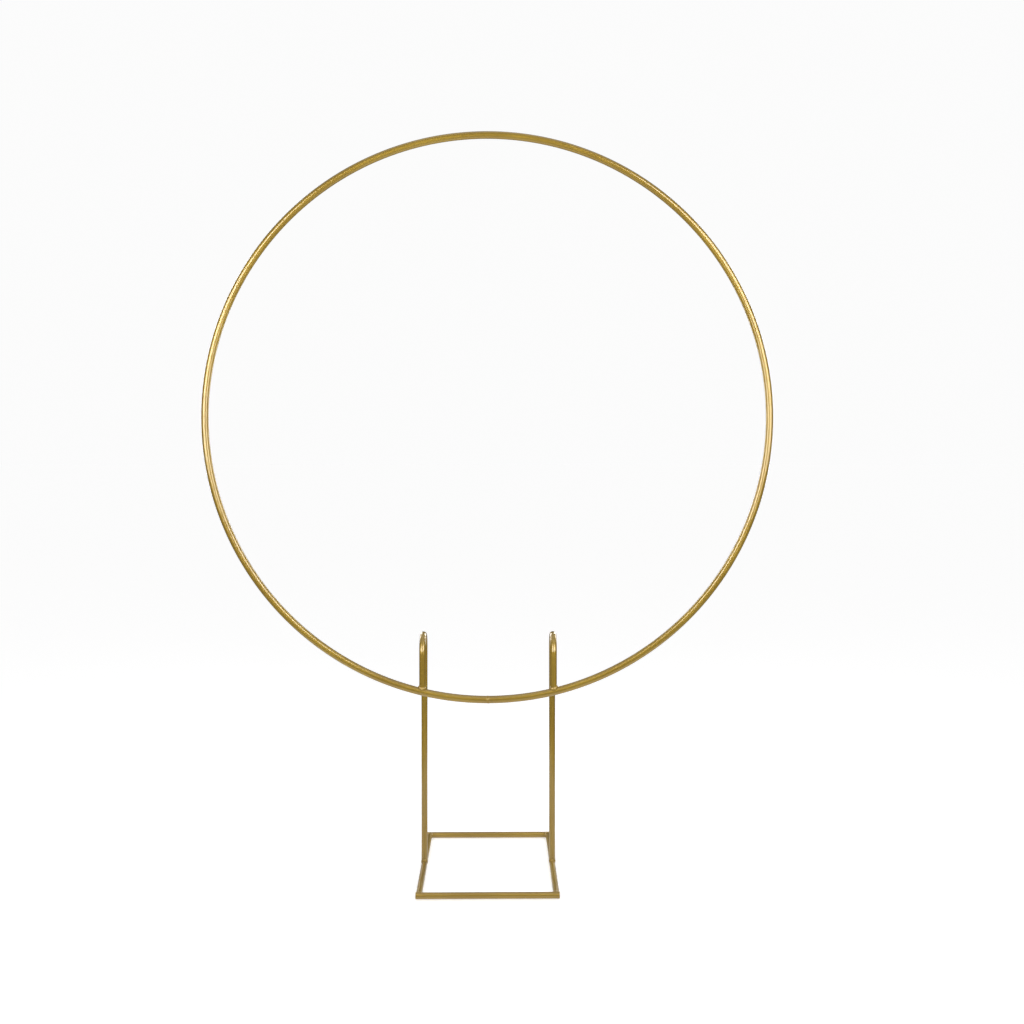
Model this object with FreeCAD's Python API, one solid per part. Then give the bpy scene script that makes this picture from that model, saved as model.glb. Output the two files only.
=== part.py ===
"""Wreath frame: a round-rod hoop on a small welded stand. FreeCAD 1.1, millimetres.

Frame: +Z up, -Y is the front (the side the hoop stands on), X runs across.
The origin is on the table, under the middle of the base.
Every rod and every weld bead is a solid of its own. Rod ends are coped to the rod that they
meet, and each bead is cut by the rods that it joins, so all of them meet face to face.
"""
import FreeCAD, Part
import math
import os

# ---- driving dimensions (mm) ----
HOOP_OUTSIDE = 457.0        # 18 inch hoop, over the rod
HOOP_ROD = 6.0              # hoop rod diameter
STAND_ROD = 5.0             # stand rod diameter
OVERALL_HEIGHT = 597.0      # table to the top of the hoop
BASE_WIDTH = 110.0          # over the side bars
BASE_DEPTH = 152.0          # over the front and back bars
NECK_BEND_RADIUS = 14.0     # centre line of the cane bend at each upright's top
NECK_TOP = 195.5            # table to the top of the cane bend, over the rod
TABLE_GAP = 0.25            # the bars clear the table by this, standing on the ground welds
SEAM_GAP = 1.2              # root gap where the rolled hoop closes, filled with weld

CORNER_BEAD = 3.4           # radii of the weld beads
CORNER_BEAD_INSET = 0.5     # how far a corner bead sits towards the inside of its corner
FOOT_BEAD = 3.3
NECK_BEAD = 3.5
SEAM_BEAD = 3.2

# ---- worked out from them ----
STAND_R = STAND_ROD / 2
HOOP_R = HOOP_ROD / 2
HOOP_CENTRELINE = HOOP_OUTSIDE / 2 - HOOP_R
HOOP_Y = -2 * NECK_BEND_RADIUS
HOOP_Z = OVERALL_HEIGHT - HOOP_OUTSIDE / 2
BAR_Z = TABLE_GAP + STAND_R
SIDE_X = BASE_WIDTH / 2 - STAND_R
BAR_Y = BASE_DEPTH / 2 - STAND_R
BEND_Z = NECK_TOP - STAND_R - NECK_BEND_RADIUS

RIGHTWARDS = FreeCAD.Vector(1, 0, 0)
BACKWARDS = FreeCAD.Vector(0, 1, 0)
UPWARDS = FreeCAD.Vector(0, 0, 1)


def rod(radius, start, direction, length):
    """A straight round rod with square-cut ends."""
    return Part.makeCylinder(radius, length, start, direction)


def bent_rod(radius, start, direction, centre, axis, degrees):
    """A round rod that starts at a point, heads in a direction and turns about an axis."""
    section = Part.Face(Part.Wire(Part.makeCircle(radius, start, direction)))
    return section.revolve(centre, axis, degrees)


def one_solid(shape, name):
    """The single closed solid of a shape, or a plain error."""
    solids = shape.Solids
    if len(solids) != 1:
        raise ValueError(f"{name} has {len(solids)} solids")
    if not solids[0].isValid():
        raise ValueError(f"{name} is not valid")
    return solids[0]


def make_hoop():
    """The rolled ring, open by the seam's root gap at its lowest point."""
    centre = FreeCAD.Vector(0, HOOP_Y, HOOP_Z)
    gap_degrees = math.degrees(SEAM_GAP / HOOP_CENTRELINE)
    half_gap = math.radians(gap_degrees / 2)
    outwards = FreeCAD.Vector(-math.sin(half_gap), 0, -math.cos(half_gap))
    along = FreeCAD.Vector(-math.cos(half_gap), 0, math.sin(half_gap))
    start = centre + outwards * HOOP_CENTRELINE
    return bent_rod(HOOP_R, start, along, centre, BACKWARDS, 360 - gap_degrees)


def make_hoop_seam_weld(hoop):
    """A slightly proud bead round the hoop's closing seam, with the filled root gap inside."""
    lowest = FreeCAD.Vector(0, HOOP_Y, HOOP_Z - HOOP_CENTRELINE)
    return Part.makeSphere(SEAM_BEAD, lowest, RIGHTWARDS).cut(hoop)


def make_base_bar(y):
    """The front or back bar, full width, with square-cut ends."""
    start = FreeCAD.Vector(-BASE_WIDTH / 2, y, BAR_Z)
    return rod(STAND_R, start, RIGHTWARDS, BASE_WIDTH)


def make_side_bar(x, front_bar, back_bar):
    """A side bar between the front and back bars, coped to both."""
    start = FreeCAD.Vector(x, -BAR_Y, BAR_Z)
    bar = rod(STAND_R, start, BACKWARDS, 2 * BAR_Y)
    coped = bar.cut(front_bar).cut(back_bar)
    return max(coped.Solids, key=lambda piece: piece.Volume)


def make_upright(x, side_bar, hoop):
    """One rod: up from the side bar, a cane bend to the front, and a leg down to the hoop."""
    foot = FreeCAD.Vector(x, 0, BAR_Z)
    bend_start = FreeCAD.Vector(x, 0, BEND_Z)
    bend_centre = FreeCAD.Vector(x, -NECK_BEND_RADIUS, BEND_Z)
    leg_top = FreeCAD.Vector(x, HOOP_Y, BEND_Z)
    hoop_rod_z = HOOP_Z - math.sqrt(HOOP_CENTRELINE ** 2 - x ** 2)
    post = rod(STAND_R, foot, UPWARDS, BEND_Z - BAR_Z)
    bend = bent_rod(STAND_R, bend_start, UPWARDS, bend_centre, RIGHTWARDS, 180)
    leg = rod(STAND_R, leg_top, -UPWARDS, BEND_Z - hoop_rod_z)
    whole = post.fuse([bend, leg]).removeSplitter()
    coped = whole.cut(side_bar).cut(hoop)
    return max(coped.Solids, key=lambda piece: piece.Volume)


def make_neck_weld(x, upright, hoop):
    """The bead round a leg's lower end, on the upper side of the hoop."""
    slope = math.asin(abs(x) / HOOP_CENTRELINE)
    hoop_rod_z = HOOP_Z - math.sqrt(HOOP_CENTRELINE ** 2 - x ** 2)
    joint = FreeCAD.Vector(x, HOOP_Y, hoop_rod_z + HOOP_R / math.cos(slope))
    return Part.makeSphere(NECK_BEAD, joint).cut(hoop).cut(upright)


def make_foot_weld(x, upright, side_bar):
    """The bead round an upright's foot, on top of its side bar."""
    joint = FreeCAD.Vector(x, 0, BAR_Z + STAND_R)
    return Part.makeSphere(FOOT_BEAD, joint).cut(side_bar).cut(upright)


def make_corner_weld(x, y, cross_bar, side_bar):
    """The bead in a base corner, ground level underneath: the frame rests on these flats."""
    towards_middle = -math.copysign(1, x)
    towards_centre = -math.copysign(1, y)
    joint_x = x + towards_middle * CORNER_BEAD_INSET
    joint_y = y + towards_centre * (STAND_R + CORNER_BEAD_INSET)
    joint = FreeCAD.Vector(joint_x, joint_y, BAR_Z)
    size = 4 * CORNER_BEAD
    corner = FreeCAD.Vector(joint_x - size / 2, joint_y - size / 2, 0)
    above_table = Part.makeBox(size, size, size, corner)
    bead = Part.makeSphere(CORNER_BEAD, joint).common(above_table)
    return bead.cut(cross_bar).cut(side_bar)


def build():
    """Every node's name and solid."""
    nodes = {}
    nodes["hoop"] = make_hoop()
    nodes["hoop_seam_weld"] = make_hoop_seam_weld(nodes["hoop"])
    nodes["front_bar"] = make_base_bar(-BAR_Y)
    nodes["back_bar"] = make_base_bar(BAR_Y)
    for side, x in (("left", -SIDE_X), ("right", SIDE_X)):
        side_bar = make_side_bar(x, nodes["front_bar"], nodes["back_bar"])
        upright = make_upright(x, side_bar, nodes["hoop"])
        nodes[f"{side}_side_bar"] = side_bar
        nodes[f"{side}_upright"] = upright
        nodes[f"{side}_neck_weld"] = make_neck_weld(x, upright, nodes["hoop"])
        nodes[f"{side}_foot_weld"] = make_foot_weld(x, upright, side_bar)
        for end, y in (("front", -BAR_Y), ("back", BAR_Y)):
            weld = make_corner_weld(x, y, nodes[f"{end}_bar"], side_bar)
            nodes[f"{end}_{side}_corner_weld"] = weld
    return nodes


os.makedirs("parts", exist_ok=True)
for name, shape in build().items():
    solid = one_solid(shape, name)
    solid.exportStep(f"parts/{name}.step")
    print(f"{name}: {solid.Volume:.1f} mm3, {len(solid.Faces)} faces")
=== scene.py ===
"""The looks of a gold wreath frame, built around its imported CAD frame. Blender 4.5, metres.

Frame: +Z up, -Y is the front, X runs across, and the origin is on the table under the base.
Every rod is modelled straight, in rod coordinates (across, across, along), and a placing function
then lays or bends it into the frame. The same coordinates are kept in the mesh for its material.
"""

import math
import random

import bmesh
import bpy
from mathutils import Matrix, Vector


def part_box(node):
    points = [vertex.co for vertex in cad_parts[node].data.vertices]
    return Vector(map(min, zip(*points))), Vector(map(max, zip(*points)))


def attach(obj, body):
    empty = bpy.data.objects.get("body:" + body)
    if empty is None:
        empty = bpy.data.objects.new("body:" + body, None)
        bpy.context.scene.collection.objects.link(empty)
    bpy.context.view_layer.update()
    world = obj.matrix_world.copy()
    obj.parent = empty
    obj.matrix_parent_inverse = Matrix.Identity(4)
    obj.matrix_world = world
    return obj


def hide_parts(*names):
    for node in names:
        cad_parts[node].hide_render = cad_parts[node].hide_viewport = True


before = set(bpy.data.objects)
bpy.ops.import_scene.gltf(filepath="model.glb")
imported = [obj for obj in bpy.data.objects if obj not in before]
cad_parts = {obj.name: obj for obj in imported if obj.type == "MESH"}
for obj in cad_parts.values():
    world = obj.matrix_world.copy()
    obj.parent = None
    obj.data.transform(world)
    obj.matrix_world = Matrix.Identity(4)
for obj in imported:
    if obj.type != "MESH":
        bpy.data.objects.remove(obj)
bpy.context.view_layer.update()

MM = 0.001

# ---- sizes and places, worked out from the CAD nodes ----
hoop_low, hoop_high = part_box("hoop")
post_low, post_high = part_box("left_upright")
bar_low, bar_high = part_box("front_bar")

HOOP_ROD = (hoop_high.y - hoop_low.y) / 2
HOOP_RADIUS = (hoop_high.x - hoop_low.x) / 2 - HOOP_ROD
HOOP_CENTRE = Vector((0, (hoop_low.y + hoop_high.y) / 2, hoop_high.z - HOOP_ROD - HOOP_RADIUS))
STAND_ROD = (bar_high.z - bar_low.z) / 2
BAR_Z = (bar_high.z + bar_low.z) / 2
BAR_Y = -(bar_high.y + bar_low.y) / 2
BAR_HALF = (bar_high.x - bar_low.x) / 2
SIDE_X = -(post_high.x + post_low.x) / 2
BEND_RADIUS = -HOOP_CENTRE.y / 2
BEND_Z = post_high.z - STAND_ROD - BEND_RADIUS

# ---- details smaller than the CAD model's ----
SEAM_GAP = 1.2 * MM             # root gap where the rolled hoop closes
CUT_EDGE = 0.35 * MM            # rounding of the dressed edge on a cut end
BEND_SWELL = 0.04               # how much the cane bend widens the rod across the bend
BEAD_SUNK = 0.15 * MM           # how far a fillet bead goes into the rods that it joins
BEAD_EDGE_SUNK = 0.04 * MM      # how far its edges do
BEAD_PROUD = 0.36 * MM          # how far its middle bulges

# ---- how finely the meshes are drawn ----
SIDES = 32                      # points round a rod
HOOP_SPACING = 3 * MM           # between rings along the hoop
BAR_SPACING = 2.5 * MM          # and along the base's bars
UPRIGHT_SPACING = 1.5 * MM      # and along an upright, which has the tight bend
END_MARGIN = 0.4 * MM           # between an end's last ring and the rod's first
CAP_RINGS = (0.8, 0.55, 0.3)    # rings inside an end face, as parts of its radius
CORNER_STEPS = 4                # steps over a rounded cut edge
BEAD_STEPS = 96                 # points round a weld bead
SEAM_CROWN_STEPS = 14           # steps across the seam's bead
CROWN_STEPS = 12                # steps across a fillet bead
CREASE = math.radians(50)       # edges sharper than this stay crisp

RIGHT = Vector((1, 0, 0))
BACK = Vector((0, 1, 0))
UP = Vector((0, 0, 1))


# ------------------------------------------------------------------ rods

def hoop_height(across_x, across_y):
    """How high the upper side of the hoop's lower half lies, over a point of the table."""
    depth = across_y - HOOP_CENTRE.y
    half_chord = math.sqrt(max(HOOP_ROD ** 2 - depth ** 2, 0))
    return HOOP_CENTRE.z - math.sqrt((HOOP_RADIUS - half_chord) ** 2 - across_x ** 2)


def square_cut(along):
    """An end surface square to the rod, at a place along it."""
    return lambda a, b: along


def saddle(offset):
    """How far a stand rod's surface stands off its axis, at an offset from that axis."""
    return math.sqrt(max(STAND_ROD ** 2 - offset ** 2, 0))


def ring_of(radius, surface, lift=0.0, edge=0.0):
    """A ring of rod points (across, across, along, edge), lying on an end surface."""
    points = []
    for index in range(SIDES):
        angle = 2 * math.pi * index / SIDES
        a = radius * math.cos(angle)
        b = radius * math.sin(angle)
        points.append((a, b, surface(a, b) + lift, edge))
    return points


def end_rings(radius, surface, rounding, sign):
    """Rings from the middle of an end face to the rod's side, over the cut edge's rounding.

    sign is +1 at the rod's start and -1 at its finish.
    """
    flat = radius - rounding
    rings = [[(0, 0, surface(0, 0), 0)]]
    rings += [ring_of(flat * part, surface) for part in reversed(CAP_RINGS)]
    if rounding == 0:
        return rings + [ring_of(radius, surface)]
    for step in range(CORNER_STEPS + 1):
        turn = math.pi / 2 * step / CORNER_STEPS
        out = flat + rounding * math.sin(turn)
        lift = sign * rounding * (1 - math.cos(turn))
        rings.append(ring_of(out, surface, lift, 1.0))
    return rings


def rod_rings(radius, start, finish, spacing, rounding=0.0):
    """All the rings of one rod between two end surfaces, which are functions of the offsets across."""
    rim = ring_of(radius, start)
    first = max(point[2] for point in rim) + rounding + END_MARGIN
    rim = ring_of(radius, finish)
    last = min(point[2] for point in rim) - rounding - END_MARGIN
    count = max(2, round((last - first) / spacing))
    rings = end_rings(radius, start, rounding, +1)
    for index in range(count + 1):
        along = first + (last - first) * index / count
        rings.append(ring_of(radius, square_cut(along)))
    return rings + list(reversed(end_rings(radius, finish, rounding, -1)))


def rod_mesh(name, rings, place):
    """A rod's closed mesh through its rings, with its rod coordinates, edge and weld marks kept."""
    bm = bmesh.new()
    straight = bm.verts.layers.float_vector.new("straight")
    edge = bm.verts.layers.float.new("edge")
    weld = bm.verts.layers.float.new("near_weld")
    rows = []
    for ring in rings:
        row = []
        for a, b, s, mark in ring:
            vertex = bm.verts.new(place(a, b, s))
            vertex[straight] = Vector((a, b, s))
            vertex[edge] = mark
            vertex[weld] = near_weld(vertex.co)
            row.append(vertex)
        rows.append(row)
    for row, following in zip(rows, rows[1:]):
        join_rows(bm, row, following)
    bmesh.ops.recalc_face_normals(bm, faces=bm.faces)
    return finished(name, bm)


def join_rows(bm, row, following):
    """Faces between two rows of vertices. A row of one vertex is the middle of an end face."""
    count = max(len(row), len(following))
    for index in range(count):
        ahead = (index + 1) % count
        corners = [row[index % len(row)], row[ahead % len(row)]]
        corners += [following[ahead % len(following)], following[index % len(following)]]
        bm.faces.new(list(dict.fromkeys(corners)))


def finished(name, bm):
    """A smooth-shaded object from a bmesh, with its cut edges kept crisp."""
    for face in bm.faces:
        face.smooth = True
    mesh = bpy.data.meshes.new(name)
    bm.to_mesh(mesh)
    bm.free()
    mesh.set_sharp_from_angle(angle=CREASE)
    piece = bpy.data.objects.new(name, mesh)
    bpy.context.scene.collection.objects.link(piece)
    return piece


# ------------------------------------------------------------------ where the welds are

def hoop_point(angle):
    """The hoop rod's centre at an angle from the hoop's lowest point, towards the right."""
    outwards = Vector((math.sin(angle), 0, -math.cos(angle)))
    return HOOP_CENTRE + outwards * HOOP_RADIUS


NECK_ANGLE = math.asin(SIDE_X / HOOP_RADIUS)
WELD_PLACES = [hoop_point(0)]
for side in (-1, 1):
    WELD_PLACES.append(hoop_point(side * NECK_ANGLE) + UP * HOOP_ROD)
    WELD_PLACES.append(Vector((side * SIDE_X, 0, BAR_Z + STAND_ROD)))
    for end in (-1, 1):
        WELD_PLACES.append(Vector((side * SIDE_X, end * (BAR_Y - STAND_ROD), BAR_Z)))


def near_weld(point):
    """1 at a weld, falling to 0 about 20 mm away, for the heat's mark and the painted shade round it
    on the finish.
    """
    reach = 8 * MM
    nearest = min((point - place).length for place in WELD_PLACES)
    return math.exp(-(nearest / reach) ** 2)


# ------------------------------------------------------------------ the frame's rods

def make_hoop():
    """The rolled ring. Its ends meet at the bottom, inside the seam's bead."""
    length = 2 * math.pi * HOOP_RADIUS - SEAM_GAP

    def place(a, b, s):
        angle = (s + SEAM_GAP / 2) / HOOP_RADIUS
        outwards = Vector((math.sin(angle), 0, -math.cos(angle)))
        return HOOP_CENTRE + outwards * (HOOP_RADIUS + a) + BACK * b

    rings = rod_rings(HOOP_ROD, square_cut(0.0), square_cut(length), HOOP_SPACING, CUT_EDGE)
    return rod_mesh("hoop_ring", rings, place)


def make_cross_bar(name, y):
    """The front or back bar, with its two dressed ends showing."""
    def place(a, b, s):
        return Vector((s, y + a, BAR_Z + b))

    ends = (square_cut(-BAR_HALF), square_cut(BAR_HALF))
    return rod_mesh(name, rod_rings(STAND_ROD, *ends, BAR_SPACING, CUT_EDGE), place)


def make_side_bar(name, x):
    """A side bar, coped at both ends to the cross bars."""
    def place(a, b, s):
        return Vector((x + a, s, BAR_Z + b))

    def start(a, b):
        return -BAR_Y + saddle(b)

    def finish(a, b):
        return BAR_Y - saddle(b)

    return rod_mesh(name, rod_rings(STAND_ROD, start, finish, BAR_SPACING), place)


def make_upright(name, x):
    """A post with its cane bend and its leg, coped to the side bar and to the hoop."""
    bend_length = math.pi * BEND_RADIUS

    def place(a, b, s):
        past = s - BEND_Z
        if past <= 0:
            return Vector((x + a, b, s))
        if past >= bend_length:
            return Vector((x + a, -2 * BEND_RADIUS - b, BEND_Z - (past - bend_length)))
        turn = past / BEND_RADIUS
        swell = BEND_SWELL * math.sin(turn)
        radius = BEND_RADIUS + b * (1 - swell)
        y = -BEND_RADIUS + radius * math.cos(turn)
        return Vector((x + a * (1 + swell), y, BEND_Z + radius * math.sin(turn)))

    def start(a, b):
        return BAR_Z + saddle(a)

    def finish(a, b):
        y = -2 * BEND_RADIUS - b
        return BEND_Z + bend_length + (BEND_Z - hoop_height(x + a, y))

    return rod_mesh(name, rod_rings(STAND_ROD, start, finish, UPRIGHT_SPACING), place)


# ------------------------------------------------------------------ weld beads

def lumps(seed, angle):
    """A slow random swell round a bead, about -1 to 1, that closes on itself."""
    waves = 4
    usual_peak = 1.5
    rng = random.Random(seed)
    total = 0.0
    for wave in range(1, waves + 1):
        total += math.sin(wave * angle + rng.uniform(0, 2 * math.pi)) / wave
    return total / usual_peak


def ripples(angle, across, count):
    """The stacked crescents of a weld, 0 to 1. across runs from toe to toe, 0 to 1."""
    crescent = 0.55 * math.pi * (2 * across - 1) ** 2
    return 0.5 + 0.5 * math.cos(count * angle + crescent)


def bead_object(name, sections):
    """A closed bead through its sections, which go round the joint."""
    bm = bmesh.new()
    straight = bm.verts.layers.float_vector.new("straight")
    weld = bm.verts.layers.float.new("near_weld")
    rows = []
    for section in sections:
        row = [bm.verts.new(point) for point in section]
        for vertex in row:
            vertex[straight] = vertex.co
            vertex[weld] = 1.0
        rows.append(row)
    for row, following in zip(rows, rows[1:] + rows[:1]):
        join_rows(bm, row, following)
    bmesh.ops.recalc_face_normals(bm, faces=bm.faces)
    return finished(name, bm)


def make_seam_bead(name):
    """The proud ring of weld round the hoop's closing seam, and the weld that fills the root gap."""
    reach = 1.3 * MM
    proud = 0.11 * MM
    sunk = 0.12 * MM
    core = 0.2 * MM
    wandering = 0.15 * MM
    crown_power = 0.8
    ripple_count = 15
    ripple_depth = 0.14
    sections = []
    for index in range(BEAD_STEPS):
        angle = 2 * math.pi * index / BEAD_STEPS
        radial = Vector((0, math.cos(angle), math.sin(angle)))
        wander = wandering * lumps(name, angle)
        profile = [(-SEAM_GAP / 2, core), (-SEAM_GAP / 2, HOOP_ROD - sunk)]
        for step in range(SEAM_CROWN_STEPS + 1):
            across = step / SEAM_CROWN_STEPS
            crown = math.sin(math.pi * across) ** crown_power
            swell = 1 - ripple_depth + ripple_depth * ripples(angle, across, ripple_count)
            radius = HOOP_ROD - sunk + (proud + sunk) * crown * swell
            profile.append((reach * (2 * across - 1) + wander * crown, radius))
        profile += [(SEAM_GAP / 2, HOOP_ROD - sunk), (SEAM_GAP / 2, core)]
        sections.append([hoop_point(0) + RIGHT * s + radial * r for s, r in profile])
    return bead_object(name, sections)


def main_height(point_across, branch, main, main_radius):
    """How far along the branch's axis the main rod's surface is, at an offset across the branch."""
    flat_branch = branch - main * branch.dot(main)
    flat_point = point_across - main * point_across.dot(main)
    a = flat_branch.length_squared
    b = flat_branch.dot(flat_point)
    c = flat_point.length_squared - main_radius ** 2
    return (-b + math.sqrt(max(b * b - a * c, 0))) / a


def fillet_face(top, low, normal, toe_normal, angle, swell):
    """The outer face of one section of a fillet, from the branch rod's side to the main rod's."""
    crown_power = 0.85
    ripple_count = 13
    ripple_depth = 0.2
    bulge_way = (normal + toe_normal).normalized()
    points = []
    for step in range(CROWN_STEPS + 1):
        across = step / CROWN_STEPS
        chord = top.lerp(low, across) - (normal.lerp(toe_normal, across)) * BEAD_EDGE_SUNK
        crown = math.sin(math.pi * across) ** crown_power
        rippled = 1 - ripple_depth + ripple_depth * ripples(angle, across, ripple_count)
        points.append(chord + bulge_way * (BEAD_PROUD * rippled * swell) * crown)
    return points


def make_bead(name, joint, branch, main, main_radius, leg=1.7 * MM, toe=0.9 * MM, end_at=None):
    """A fillet weld round a stand rod where it stands on another rod.

    joint is on the main rod's axis, branch points along the stand rod away from it, and main
    points along the main rod. leg and toe are the bead's reach along the stand rod and the main
    rod. The main rod may end at end_at beyond the joint, against main.
    """
    sideways = branch.cross(main).normalized()
    level = sideways.cross(branch).normalized()
    outwards = (branch - main * branch.dot(main)).normalized()
    easing = 0.82
    leg_lumps = 0.12
    toe_lumps = 0.15
    sections = []
    for index in range(BEAD_STEPS):
        angle = 2 * math.pi * index / BEAD_STEPS
        normal = level * math.cos(angle) + sideways * math.sin(angle)
        offset = normal * STAND_ROD
        root = offset + branch * main_height(offset, branch, main, main_radius)
        eased = level * offset.dot(level) + sideways * offset.dot(sideways) * easing
        swell = 1 + leg_lumps * lumps(name, angle)
        top = offset + branch * (main_height(eased, branch, main, main_radius) + leg * swell)
        along = root.dot(main)
        around = main_radius * math.atan2(root.dot(sideways), root.dot(outwards))
        toe_reach = toe * (1 + toe_lumps * lumps(name + "toe", angle))
        grown = 1 + toe_reach / math.hypot(along, around)
        along *= grown
        around *= grown
        if end_at is not None:
            along = max(along, -end_at)
        lean = around / main_radius
        toe_normal = outwards * math.cos(lean) + sideways * math.sin(lean)
        low = main * along + toe_normal * main_radius
        section = fillet_face(top, low, normal, toe_normal, angle, swell)
        section.append(root - (normal + toe_normal) * BEAD_SUNK)
        sections.append([above_table(joint + point) for point in section])
    return bead_object(name, sections)


def above_table(point):
    """The welds under the base are ground level with the table."""
    return Vector((point.x, point.y, max(point.z, 0.0)))


# ------------------------------------------------------------------ materials

class Nodes:
    """A short way to write a shader's nodes. An input is a value or another node's output."""

    def __init__(self, tree):
        self.tree = tree

    def add(self, kind, inputs=(), output=0, **settings):
        """A new node, wired up. Gives back one of its outputs."""
        node = self.tree.nodes.new(kind)
        for key, value in settings.items():
            setattr(node, key, value)
        for key, value in dict(inputs).items():
            if isinstance(value, bpy.types.NodeSocket):
                self.tree.links.new(value, node.inputs[key])
            else:
                node.inputs[key].default_value = value
        return node.outputs[output]

    def math(self, operation, first, second=0.0):
        return self.add("ShaderNodeMath", {0: first, 1: second}, operation=operation)

    def ranged(self, value, low, high, to_low=0.0, to_high=1.0, linear=False):
        """A value carried from one range to another, and held at its ends."""
        inputs = {"Value": value, "From Min": low, "From Max": high}
        inputs.update({"To Min": to_low, "To Max": to_high})
        kind = "LINEAR" if linear else "SMOOTHSTEP"
        return self.add("ShaderNodeMapRange", inputs, interpolation_type=kind)

    def noise(self, vector, scale, detail=2.0, roughness=0.5):
        inputs = {"Vector": vector, "Scale": scale, "Detail": detail, "Roughness": roughness}
        return self.add("ShaderNodeTexNoise", inputs)

    def scaled(self, vector, scale):
        return self.add("ShaderNodeVectorMath", {0: vector, 1: scale}, operation="MULTIPLY")

    def mix(self, factor, first, second):
        """A blend of two colours."""
        inputs = {"Factor": factor, 6: first, 7: second}
        return self.add("ShaderNodeMix", inputs, output=2, data_type="RGBA")


GOLD = (0.34, 0.216, 0.016, 1)          # the finish where it lies thinnest and brightest
GOLD_WARM = (0.295, 0.18, 0.01, 1)      # where it lies thicker
GOLD_PALE = (0.42, 0.31, 0.08, 1)       # in the flakes, and rubbed on cut edges
GOLD_TOASTED_SHADED = (0.2, 0.115, 0.01, 1)    # over the heat mark round a weld, which is also painted shade in the crevices there
METAL_SHARE = 0.35                      # how much of the paint shines as metal
PAINT_SPECULAR = 0.15                   # the paint's own gloss under the lacquer
LACQUER_IOR = 1.8                       # the lacquer's index of refraction
RELIEF_STRENGTH = 0.02                  # how strongly the surface's relief shows
RELIEF_HEIGHT = 0.06 * MM               # and its height


def gold(name, roughness, lacquer, lacquer_roughness, grain, toasted_and_shaded):
    """Gold paint with metal flakes under a clear lacquer.

    roughness is the paint's. lacquer is the clear coat's weight, grain is how much of the relief is
    orange peel, and toasted is how far the heat round a weld has browned the paint, together with the
    painted shade that darkens the crevices round it.
    """
    material = bpy.data.materials.new(name)
    material.use_nodes = True
    tree = material.node_tree
    tree.nodes.clear()
    n = Nodes(tree)
    straight = n.add("ShaderNodeAttribute", output=1, attribute_name="straight")
    edge = n.add("ShaderNodeAttribute", output=2, attribute_name="edge")
    weld = n.add("ShaderNodeAttribute", output=2, attribute_name="near_weld")
    place = n.add("ShaderNodeTexCoord", output=3)
    in_mm = n.scaled(straight, (1000, 1000, 1000))

    clouds = n.noise(place, 14.0, 3.0)
    drawn_lines = n.noise(n.scaled(in_mm, (2.6, 2.6, 0.035)), 1.0, 3.0)
    peel = n.noise(in_mm, 0.6, 1.0)
    flakes = n.noise(in_mm, 9.0, 1.0)

    tone = n.mix(n.ranged(clouds, 0.36, 0.66), GOLD_WARM, GOLD)
    tone = n.mix(n.ranged(flakes, 0.55, 0.8, 0.0, 0.22), tone, GOLD_PALE)
    # Painted shade: the paint darkens round each weld, as heat tint and as shade in its crevices.
    heat_and_shade = n.math("MULTIPLY", n.ranged(weld, 0.05, 0.95), n.ranged(peel, 0.25, 0.75, 0.55, 1.0))
    tone = n.mix(n.math("MULTIPLY", heat_and_shade, toasted_and_shaded), tone, GOLD_TOASTED_SHADED)
    rub = n.math("MULTIPLY", edge, n.ranged(n.noise(in_mm, 0.9, 3.0), 0.42, 0.6))
    tone = n.mix(n.math("MULTIPLY", rub, 0.8), tone, GOLD_PALE)

    shine = n.ranged(drawn_lines, 0.3, 0.7, roughness - 0.04, roughness + 0.05)
    shine = n.math("ADD", shine, n.ranged(clouds, 0.35, 0.7, -0.02, 0.03))
    shine = n.math("ADD", shine, n.math("MULTIPLY", heat_and_shade, 0.08))
    shine = n.math("ADD", shine, n.math("MULTIPLY", rub, 0.06))

    relief = n.math("ADD", n.math("MULTIPLY", drawn_lines, 0.5), n.math("MULTIPLY", peel, grain))
    relief = n.math("ADD", relief, n.math("MULTIPLY", flakes, 0.03))
    relief_inputs = {"Height": relief, "Strength": RELIEF_STRENGTH, "Distance": RELIEF_HEIGHT}
    bump = n.add("ShaderNodeBump", relief_inputs)

    shader = tree.nodes.new("ShaderNodeBsdfPrincipled")
    tree.links.new(tone, shader.inputs["Base Color"])
    tree.links.new(shine, shader.inputs["Roughness"])
    tree.links.new(bump, shader.inputs["Normal"])
    shader.inputs["Metallic"].default_value = METAL_SHARE
    shader.inputs["Specular IOR Level"].default_value = PAINT_SPECULAR
    shader.inputs["Coat Weight"].default_value = lacquer
    shader.inputs["Coat Roughness"].default_value = lacquer_roughness
    shader.inputs["Coat IOR"].default_value = LACQUER_IOR
    output = tree.nodes.new("ShaderNodeOutputMaterial")
    tree.links.new(shader.outputs[0], output.inputs["Surface"])
    return material


# ------------------------------------------------------------------ the pieces

def fit(piece, node, material):
    """Gives a piece its finish and puts it in place of its CAD node."""
    piece.data.materials.append(material)
    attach(piece, "root")
    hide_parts(node)


hoop_gold = gold(
    "hoop_gold_finish", roughness=0.36, lacquer=0.9, lacquer_roughness=0.18, grain=0.5, toasted_and_shaded=0.35)
stand_gold = gold(
    "stand_gold_finish", roughness=0.36, lacquer=0.9, lacquer_roughness=0.18, grain=0.6, toasted_and_shaded=0.35)
weld_gold = gold(
    "weld_gold_finish", roughness=0.42, lacquer=0.5, lacquer_roughness=0.35, grain=1.3, toasted_and_shaded=0.45)

fit(make_hoop(), "hoop", hoop_gold)
fit(make_seam_bead("hoop_seam_bead"), "hoop_seam_weld", weld_gold)
fit(make_cross_bar("front_base_bar", -BAR_Y), "front_bar", stand_gold)
fit(make_cross_bar("back_base_bar", BAR_Y), "back_bar", stand_gold)

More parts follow.
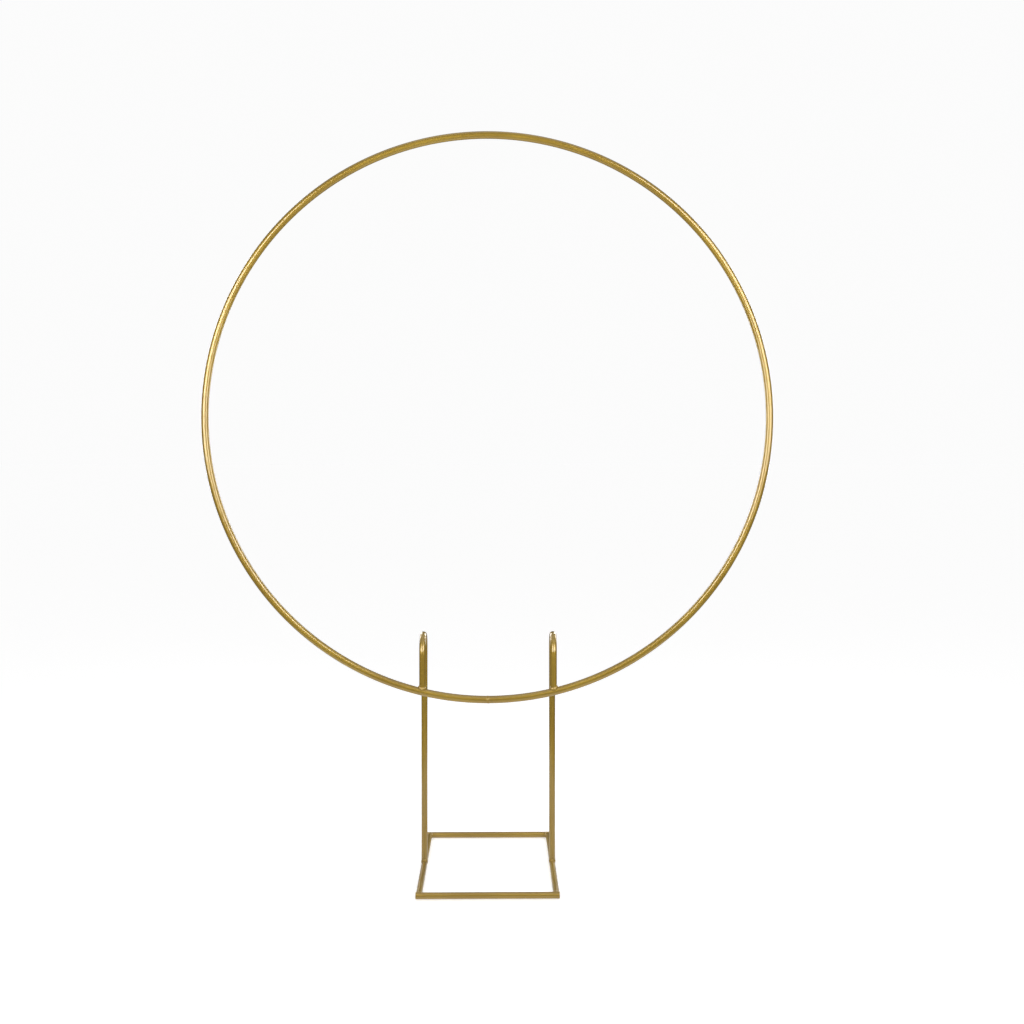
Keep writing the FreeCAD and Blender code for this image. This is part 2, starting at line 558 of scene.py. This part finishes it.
for side_name, side in (("left", -1), ("right", 1)):
    x = side * SIDE_X
    side_bar = make_side_bar(f"{side_name}_base_bar", x)
    fit(side_bar, f"{side_name}_side_bar", stand_gold)
    upright = make_upright(f"{side_name}_cane_upright", x)
    fit(upright, f"{side_name}_upright", stand_gold)

    hoop_along = Vector((math.cos(NECK_ANGLE), 0, side * math.sin(NECK_ANGLE)))
    neck_joint = hoop_point(side * NECK_ANGLE)
    neck = make_bead(f"{side_name}_neck_bead", neck_joint, UP, hoop_along, HOOP_ROD)
    fit(neck, f"{side_name}_neck_weld", weld_gold)
    foot = make_bead(f"{side_name}_foot_bead", Vector((x, 0, BAR_Z)), UP, BACK, STAND_ROD)
    fit(foot, f"{side_name}_foot_weld", weld_gold)

    for end_name, end in (("front", -1), ("back", 1)):
        joint = Vector((x, end * BAR_Y, BAR_Z))
        corner = make_bead(
            f"{end_name}_{side_name}_corner_bead", joint, BACK * -end, RIGHT * -side, STAND_ROD,
            leg=1.3 * MM, toe=0.8 * MM, end_at=BAR_HALF - SIDE_X + 0.1 * MM)
        fit(corner, f"{end_name}_{side_name}_corner_weld", weld_gold)


# ------------------------------------------------------------------ stage

PAPER = 0.93                    # how much light the white floor gives back
BACKDROP = 0.97                 # the white behind everything
GLOW = 0.5                      # the floor's own light, as on a light table
DAYLIGHT = (BACKDROP - GLOW) / PAPER    # even light, for the rest of the floor's white
SHINE = 0.8                     # brightness of the table close by, in the metal's reflections
SHINE_RADIUS = 0.35             # how far that lit part of the table reaches
SHINE_DROP = 1 * MM             # how far below the table top it lies
FLOOR_RADIUS = 60.0             # far enough for the floor to meet the backdrop at the horizon
STUDIO_LEVELS = (               # brightness of what the metal mirrors, by the sine of its elevation
    (-0.99, 0.3),
    (-0.3, 0.1),
    (0.1, 0.06),
    (0.45, 0.1),
    (0.8, 0.4),
    (0.95, 0.9),
)
LAMP_SHARE = 0.4                # a softbox lamp's width, as a part of its mirrored face's
SOFTBOXES = (                   # name, place, width, height, lamp's and mirrored face's power in W
    ("key_right", (0.42, -0.55, 0.58), 0.42, 0.58, 1.6, 8.4),
    ("fill_left", (-0.42, -0.55, 0.5), 0.42, 0.42, 1.1, 7.1),
    ("back_right", (0.42, 0.55, 0.5), 0.42, 0.5, 1.1, 4.5),
    ("back_left", (-0.42, 0.55, 0.5), 0.42, 0.5, 1.1, 4.5),
)


def make_disc(name, radius, material):
    """A level disc, centred under the object."""
    bm = bmesh.new()
    bmesh.ops.create_circle(bm, cap_ends=True, segments=96, radius=radius)
    mesh = bpy.data.meshes.new(name)
    bm.to_mesh(mesh)
    bm.free()
    mesh.materials.append(material)
    disc = bpy.data.objects.new(name, mesh)
    bpy.context.scene.collection.objects.link(disc)
    return disc


def make_floor():
    """A wide plain white table top, which the metal doesn't mirror."""
    material = bpy.data.materials.new("floor_paper")
    material.use_nodes = True
    shader = material.node_tree.nodes["Principled BSDF"]
    shader.inputs["Base Color"].default_value = (PAPER, PAPER, PAPER, 1)
    shader.inputs["Roughness"].default_value = 0.9
    shader.inputs["Specular IOR Level"].default_value = 0.0
    shader.inputs["Emission Color"].default_value = (1, 1, 1, 1)
    shader.inputs["Emission Strength"].default_value = GLOW
    floor = make_disc("floor", FLOOR_RADIUS, material)
    floor.visible_glossy = False


def make_shine():
    """The lit table top close to the object, seen only in the metal's reflections."""
    material = bpy.data.materials.new("table_shine")
    material.use_nodes = True
    tree = material.node_tree
    tree.nodes.clear()
    glow = Nodes(tree).add("ShaderNodeEmission", {"Color": (1, 1, 1, 1), "Strength": SHINE})
    output = tree.nodes.new("ShaderNodeOutputMaterial")
    tree.links.new(glow, output.inputs["Surface"])
    shine = make_disc("table_shine", SHINE_RADIUS, material)
    shine.location.z = -SHINE_DROP
    shine.visible_camera = False
    shine.visible_diffuse = False
    shine.visible_shadow = False


def make_world():
    """White all round for the eye and the floor, and a dimmer studio in the metal's reflections."""
    world = bpy.data.worlds.new("studio")
    world.use_nodes = True
    tree = world.node_tree
    tree.nodes.clear()
    n = Nodes(tree)
    direction = n.add("ShaderNodeTexCoord", output=0)
    sine = n.add("ShaderNodeSeparateXYZ", {0: direction}, output=2)
    height = n.ranged(sine, -1, 1, linear=True)
    ramp = tree.nodes.new("ShaderNodeValToRGB")
    tree.links.new(height, ramp.inputs["Fac"])
    stops = ramp.color_ramp.elements
    for position, level in STUDIO_LEVELS:
        stop = stops.new((position + 1) / 2)
        stop.color = (level, level, level, 1)
    # The two stops that a new ramp comes with are still at its ends.
    stops.remove(stops[0])
    stops.remove(stops[-1])
    backdrop = n.add("ShaderNodeBackground", {"Color": (BACKDROP, BACKDROP, BACKDROP, 1)})
    daylight = n.add("ShaderNodeBackground", {"Color": (1, 1, 1, 1), "Strength": DAYLIGHT})
    studio = n.add("ShaderNodeBackground", {"Color": ramp.outputs["Color"]})
    path = tree.nodes.new("ShaderNodeLightPath")
    mirrored = path.outputs["Is Glossy Ray"]
    lighting = n.add("ShaderNodeMixShader", {0: mirrored, 1: daylight, 2: studio})
    looked_at = path.outputs["Is Camera Ray"]
    seen = n.add("ShaderNodeMixShader", {0: looked_at, 1: lighting, 2: backdrop})
    output = tree.nodes.new("ShaderNodeOutputWorld")
    tree.links.new(seen, output.inputs["Surface"])
    bpy.context.scene.world = world


def make_softbox(name, location, width, height, power, mirrored):
    """A white upright softbox in two parts, so that each has the strength that suits it.

    The lamp lights the object and the table, and the metal mirrors only the wider face.
    """
    lamp = make_panel(f"{name}_lamp", location, width * LAMP_SHARE, height, power)
    lamp.visible_glossy = False
    face = make_panel(f"{name}_face", location, width, height, mirrored)
    face.visible_diffuse = False


def make_panel(name, location, width, height, power):
    """One upright area light that faces the object, and that the camera doesn't see."""
    light = bpy.data.lights.new(name, "AREA")
    light.shape = "RECTANGLE"
    light.size = width
    light.size_y = height
    light.energy = power
    panel = bpy.data.objects.new(name, light)
    panel.location = location
    inwards = Vector((-location.x, -location.y, 0))
    panel.rotation_euler = inwards.to_track_quat("-Z", "Y").to_euler()
    panel.visible_camera = False
    bpy.context.scene.collection.objects.link(panel)
    return panel


def make_camera():
    """The photograph's view: from the front, level with the lower half of the hoop."""
    data = bpy.data.cameras.new("camera")
    data.sensor_width = 36
    data.lens = 42.1
    data.shift_y = -0.0488
    camera = bpy.data.objects.new("camera", data)
    camera.location = (0.0071, -0.985, 0.3364)
    pitch_down = math.radians(0.21)
    yaw_right = math.radians(0.72)
    camera.rotation_euler = (math.pi / 2 - pitch_down, 0, -yaw_right)
    bpy.context.scene.collection.objects.link(camera)
    bpy.context.scene.camera = camera


make_floor()
make_shine()
make_world()
for box_name, box_place, *box_values in SOFTBOXES:
    make_softbox(box_name, Vector(box_place), *box_values)
make_camera()
bpy.context.scene.view_settings.view_transform = "Standard"
